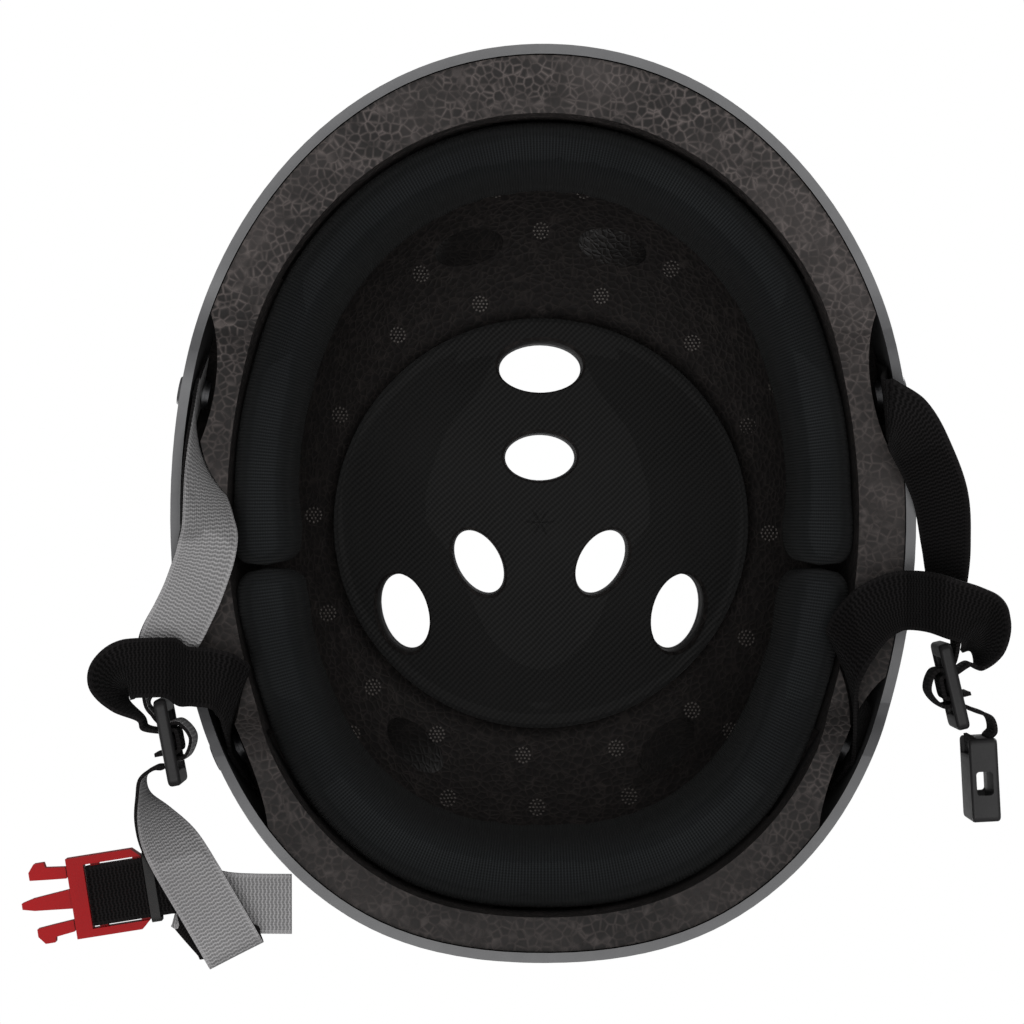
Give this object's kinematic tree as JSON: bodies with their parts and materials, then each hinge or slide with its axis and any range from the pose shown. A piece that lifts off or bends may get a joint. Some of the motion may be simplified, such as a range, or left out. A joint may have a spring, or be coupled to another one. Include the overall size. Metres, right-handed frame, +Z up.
{
  "type": "skateboard helmet",
  "caption": "Vented hard-shell skate helmet with a foam liner, comfort pads, side straps on sliders and a side-release chin buckle.",
  "frame": {"origin": "middle of the head opening, on the plane that the shell's rim stands on", "axes": "+Z up through the crown, -Y towards the brow, +X towards the wearer's left"},
  "size_m": [0.2952, 0.2795, 0.1644],
  "materials": {
    "shell": "satin",
    "liner_foam": "matte",
    "hook_tape": "matte",
    "pad_knit": "matte",
    "pad_foam": "matte",
    "crown_knit": "matte",
    "rivet_metal": "satin",
    "grey_webbing": "matte",
    "black_webbing": "matte",
    "black_plastic": "satin",
    "red_plastic": "satin",
    "black_rubber": "matte"
  },
  "bodies": {
    "helmet": {"outer_shell": "shell", "foam_liner": "liner_foam", "ring_hook_patches": "hook_tape", "crown_hook_patches": "hook_tape", "front_pad_cover": "pad_knit", "front_pad_foam": "pad_foam", "rear_pad_cover": "pad_knit", "rear_pad_foam": "pad_foam", "crown_pad_foam": "pad_foam", "crown_pad_face": "crown_knit", "strap_rivets": "rivet_metal", "rivet_washers": "rivet_metal", "right_front_strap_end": "grey_webbing", "right_rear_strap_end": "black_webbing", "left_front_strap_end": "black_webbing", "left_rear_strap_end": "black_webbing"},
    "right_harness": {"right_front_strap": "grey_webbing", "right_rear_strap": "black_webbing", "right_chin_strap": "grey_webbing", "right_slider": "black_plastic"},
    "left_harness": {"left_front_strap": "black_webbing", "left_rear_strap": "black_webbing", "left_chin_strap": "black_webbing", "left_slider": "black_plastic"},
    "plug": {"buckle_plug": "red_plastic"},
    "latch_front": {"plug_latch_front": "red_plastic"},
    "latch_rear": {"plug_latch_rear": "red_plastic"},
    "keeper": {"strap_keeper": "black_rubber"},
    "socket": {"buckle_socket": "black_plastic"}
  },
  "joints": [
    {"name": "right_strap_swing", "type": "hinge", "parent": "helmet", "child": "right_harness", "pos_m": [-0.10443, 0, 0.007], "axis": [0, -1, 0], "range_deg": [0, 85]},
    {"name": "left_strap_swing", "type": "hinge", "parent": "helmet", "child": "left_harness", "pos_m": [0.10443, 0, 0.007], "axis": [0, 1, 0], "range_deg": [0, 85]},
    {"name": "plug_swivel", "type": "hinge", "parent": "right_harness", "child": "plug", "pos_m": [-0.13293, 0.1175, 0.005], "axis": [0.1564, 0.9877, 0], "range_deg": [-15, 15], "deforming": ["right_chin_strap"]},
    {"name": "socket_swivel", "type": "hinge", "parent": "left_harness", "child": "socket", "pos_m": [0.13123, 0.0722, 0.012], "axis": [0, 0, 1], "range_deg": [-15, 15], "deforming": ["left_chin_strap"]},
    {"name": "keeper_slide", "type": "slide", "parent": "right_harness", "child": "keeper", "axis": [0.9877, -0.1564, 0], "range_m": [0, 0.008], "deforming": ["right_chin_strap"]},
    {"name": "latch_front_flex", "type": "hinge", "parent": "plug", "child": "latch_front", "pos_m": [-0.14277, 0.11096, 0.005], "axis": [0, 0, -1], "range_deg": [0, 7], "stiffness_Nm_per_rad": 0.08},
    {"name": "latch_rear_flex", "type": "hinge", "parent": "plug", "child": "latch_rear", "pos_m": [-0.14027, 0.12676, 0.005], "axis": [0, 0, 1], "range_deg": [0, 7], "stiffness_Nm_per_rad": 0.08}
  ]
}
